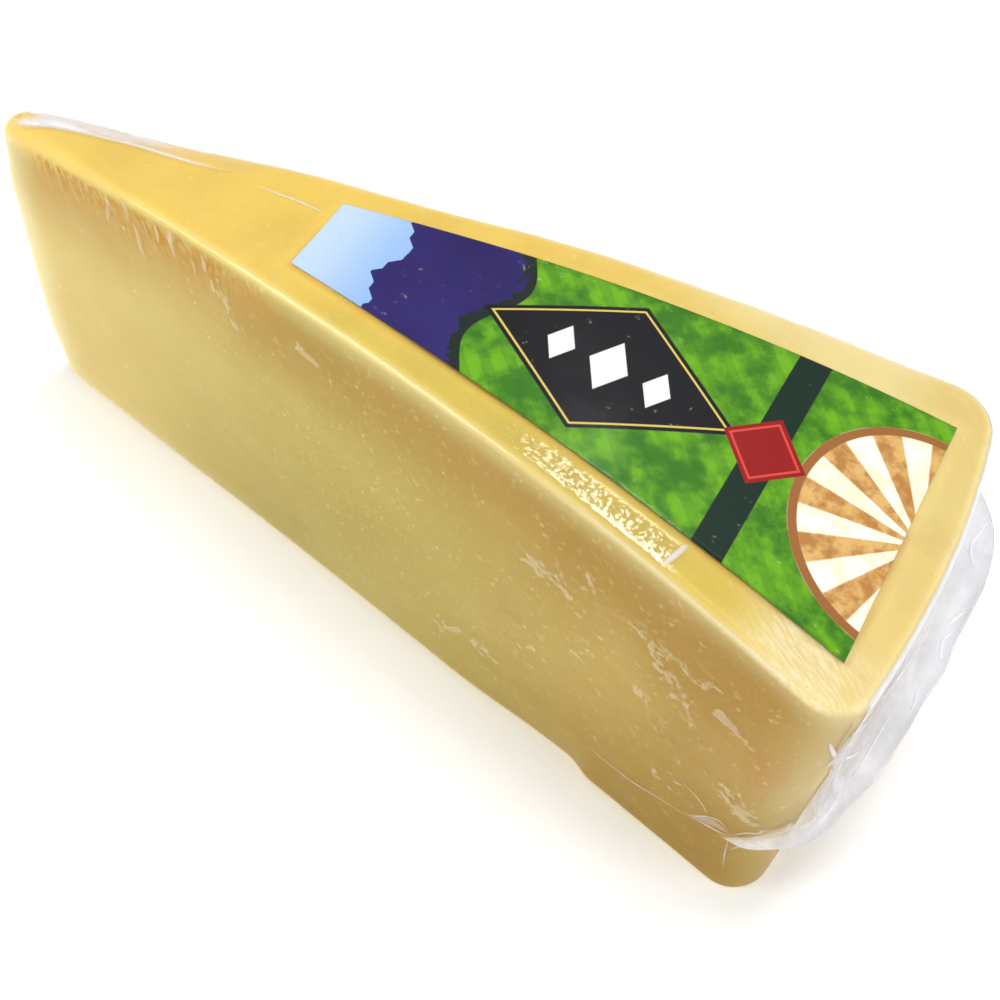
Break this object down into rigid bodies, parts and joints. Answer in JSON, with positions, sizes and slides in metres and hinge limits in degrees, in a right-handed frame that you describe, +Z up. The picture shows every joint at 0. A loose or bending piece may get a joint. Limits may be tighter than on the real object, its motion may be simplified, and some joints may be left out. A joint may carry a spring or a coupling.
{
  "type": "parmesan wedge",
  "caption": "Vacuum-packed wedge of hard cheese with a crowned top, a printed label on it, and clear film that stands out as a sealed flange round the rind.",
  "frame": {"origin": "middle of the footprint of the whole pack, on the surface that it stands on", "axes": "+X from the tip of the wedge to its rind, +Z up through the crowned top with the label; the cut face with the fold of film looks to -Y"},
  "size_m": [0.207, 0.0832, 0.0861],
  "materials": {
    "cheese": "pale yellow hard cheese, waxy, fine white grains",
    "label_print": "glossy printed label, mostly green with blue, violet and dark fields",
    "clear_film": "clear glossy packing film, crinkled"
  },
  "bodies": {
    "root": {"cheese_wedge": "cheese", "label": "label_print", "film_wrap": "clear_film"}
  },
  "joints": []
}
